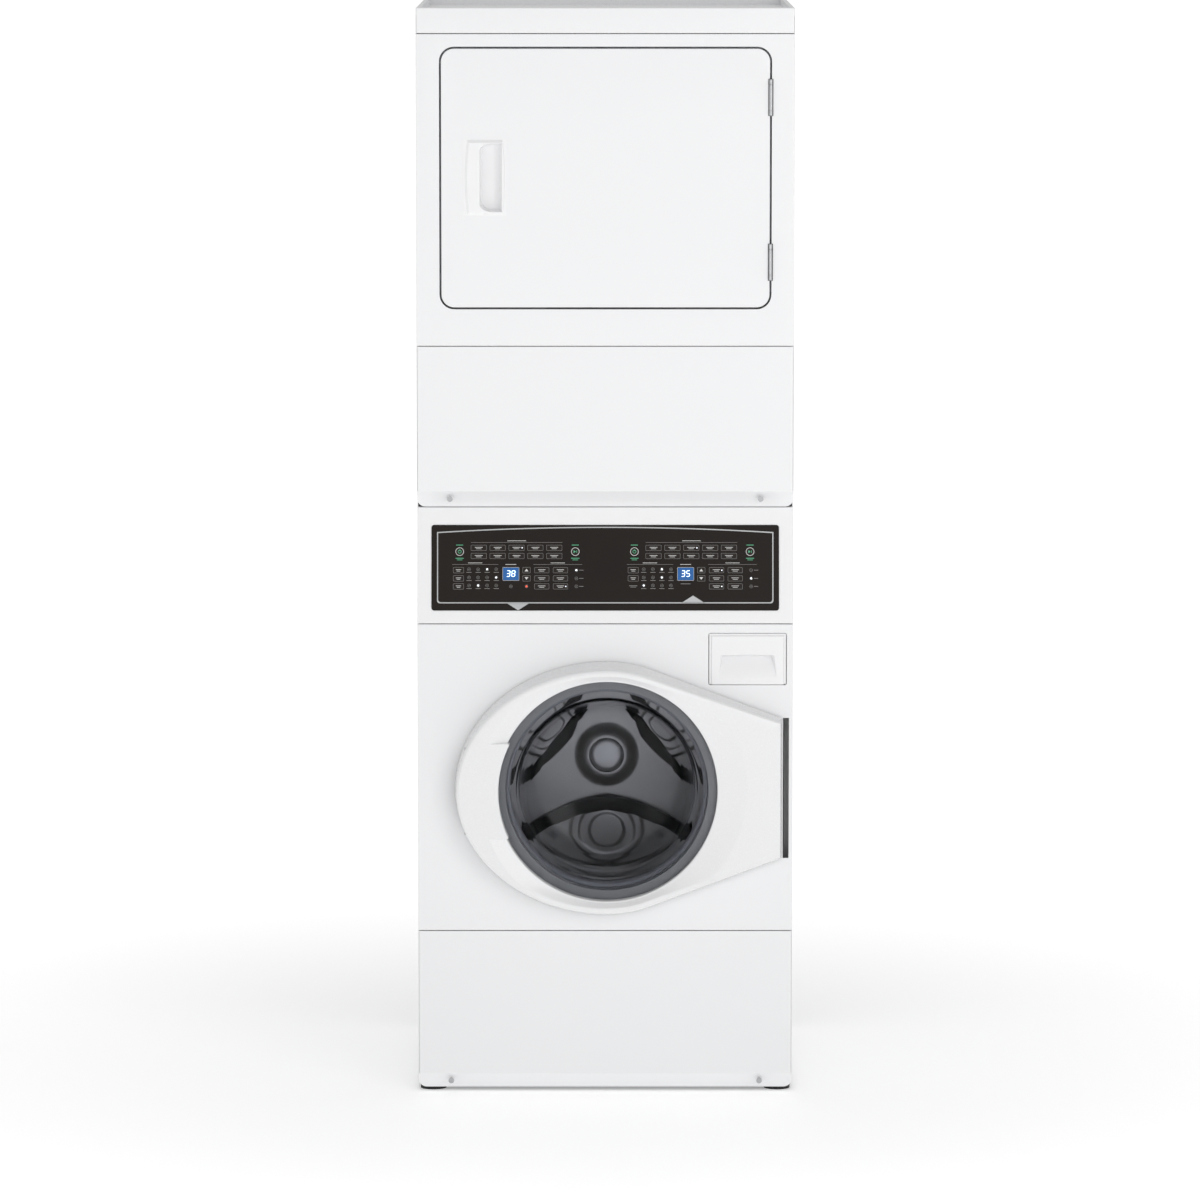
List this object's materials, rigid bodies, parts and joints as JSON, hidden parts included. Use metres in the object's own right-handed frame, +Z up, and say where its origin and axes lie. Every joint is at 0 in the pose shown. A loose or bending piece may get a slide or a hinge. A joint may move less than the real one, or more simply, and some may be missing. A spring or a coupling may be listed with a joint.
{
  "type": "stacked washer and tumble dryer",
  "caption": "Stacked laundry centre: front-load washer with round window door below, tumble dryer with flush door above, shared sloped control panel.",
  "frame": {"origin": "centre of the footprint on the floor, the footprint counted from the washer door's face to the exhaust collar", "axes": "+Z up, the doors face -Y, +X to the right as seen from the front"},
  "size_m": [0.683, 0.768, 1.984],
  "materials": {
    "white_enamel": "satin baked enamel",
    "white_plastic": "fine moulded",
    "galvanised": "galvanised sheet",
    "stainless": "drawn stainless",
    "black_glass": "gloss overlay",
    "dark_window": "tinted clear bowl",
    "grey_plastic": "moulded",
    "black_rubber": "matt",
    "grey_rubber": "moulded bellows",
    "cast_alloy": "cast",
    "concrete": "cast weight",
    "black_motor": "black varnish",
    "zinc_steel": "zinc plated",
    "circuit_green": "laminate"
  },
  "bodies": {
    "cabinet": {"access_panel_screws": "zinc_steel", "base_frame": "galvanised", "blower_housing": "grey_plastic", "control_board": "circuit_green", "control_housing": "white_plastic", "control_overlay": "black_glass", "door_gasket": "grey_rubber", "drain_pump": "grey_plastic", "drawer_housing": "grey_plastic", "dryer_access_panel": "white_enamel", "dryer_belt": "black_rubber", "dryer_front_bulkhead": "galvanised", "dryer_front_panel": "white_enamel", "dryer_hinge_pins": "zinc_steel", "dryer_motor": "black_motor", "dryer_rear_bulkhead": "galvanised", "dryer_side_left": "white_enamel", "dryer_side_right": "white_enamel", "dryer_top": "white_enamel", "exhaust_duct": "galvanised", "foot_pads": "black_rubber", "heater_box": "galvanised", "inlet_valves": "grey_plastic", "leveling_legs": "zinc_steel", "power_gland": "grey_plastic", "rear_panel": "galvanised", "stack_deck": "galvanised", "tub_suspension": "zinc_steel", "washer_access_panel": "white_enamel", "washer_door_lock": "grey_plastic", "washer_front_panel": "white_enamel", "washer_hinge_bracket": "zinc_steel", "washer_side_left": "white_enamel", "washer_side_right": "white_enamel"},
    "washer_tub": {"tub_rear": "grey_plastic", "tub_front": "grey_plastic", "counterweights": "concrete", "washer_motor": "black_motor", "washer_belt": "black_rubber"},
    "washer_basket": {"washer_drum": "stainless", "drum_back": "stainless", "drum_lifters": "stainless", "drum_spider": "cast_alloy", "drum_pulley": "cast_alloy"},
    "washer_motor_rotor": {"washer_motor_pulley": "zinc_steel"},
    "washer_door": {"washer_door_ring": "white_plastic", "washer_door_window": "dark_window", "washer_door_frame": "grey_plastic", "washer_hinge_arms": "zinc_steel"},
    "drawer": {"detergent_drawer": "white_plastic"},
    "dryer_door": {"dryer_door_skin": "white_enamel", "dryer_door_liner": "white_plastic", "dryer_door_pull": "white_plastic", "dryer_hinge_knuckles": "zinc_steel"},
    "tumbler": {"dryer_drum": "galvanised", "dryer_drum_baffles": "grey_plastic"},
    "roller_left": {"drum_roller_left": "grey_plastic"},
    "roller_right": {"drum_roller_right": "grey_plastic"},
    "blower": {"blower_wheel": "grey_plastic"},
    "filter": {"lint_filter": "grey_plastic"}
  },
  "joints": [
    {"name": "tub_float", "type": "slide", "parent": "cabinet", "child": "washer_tub", "axis": [0, 0, 1], "range_m": [-0.008, 0.008], "stiffness_N_per_m": 24000, "deforming": ["tub_suspension", "door_gasket"]},
    {"name": "washer_drum_spin", "type": "hinge", "parent": "washer_tub", "child": "washer_basket", "pos_m": [0.003, 0, 0.5665], "axis": [0, 1, 0], "continuous": true},
    {"name": "washer_motor_spin", "type": "hinge", "parent": "washer_tub", "child": "washer_motor_rotor", "pos_m": [0.045, 0, 0.19], "axis": [0, 1, 0], "continuous": true},
    {"name": "washer_door_swing", "type": "hinge", "parent": "cabinet", "child": "washer_door", "pos_m": [-0.248, -0.362, 0.5665], "axis": [0, 0, -1], "range_deg": [0, 165]},
    {"name": "drawer_slide", "type": "slide", "parent": "cabinet", "child": "drawer", "axis": [0, -1, 0], "range_m": [0, 0.19]},
    {"name": "dryer_door_swing", "type": "hinge", "parent": "cabinet", "child": "dryer_door", "pos_m": [0.2982, -0.326, 1.6745], "axis": [0, 0, 1], "range_deg": [0, 170]},
    {"name": "dryer_drum_spin", "type": "hinge", "parent": "cabinet", "child": "tumbler", "pos_m": [0, 0, 1.626], "axis": [0, 1, 0], "continuous": true},
    {"name": "roller_left_spin", "type": "hinge", "parent": "cabinet", "child": "roller_left", "pos_m": [-0.15, 0, 1.33285], "axis": [0, 1, 0], "continuous": true},
    {"name": "roller_right_spin", "type": "hinge", "parent": "cabinet", "child": "roller_right", "pos_m": [0.15, 0, 1.33285], "axis": [0, 1, 0], "continuous": true},
    {"name": "blower_spin", "type": "hinge", "parent": "cabinet", "child": "blower", "pos_m": [0.06, 0, 1.19], "axis": [0, 1, 0], "continuous": true},
    {"name": "filter_lift", "type": "slide", "parent": "cabinet", "child": "filter", "axis": [0, 0, 1], "range_m": [0, 0.11]}
  ],
  "couplings": [
    {"joint": "washer_motor_spin", "follows": "washer_drum_spin", "ratio": 13.636},
    {"joint": "roller_left_spin", "follows": "dryer_drum_spin", "ratio": -11.654},
    {"joint": "roller_right_spin", "follows": "dryer_drum_spin", "ratio": -11.654},
    {"joint": "blower_spin", "follows": "dryer_drum_spin", "ratio": 30.3}
  ]
}
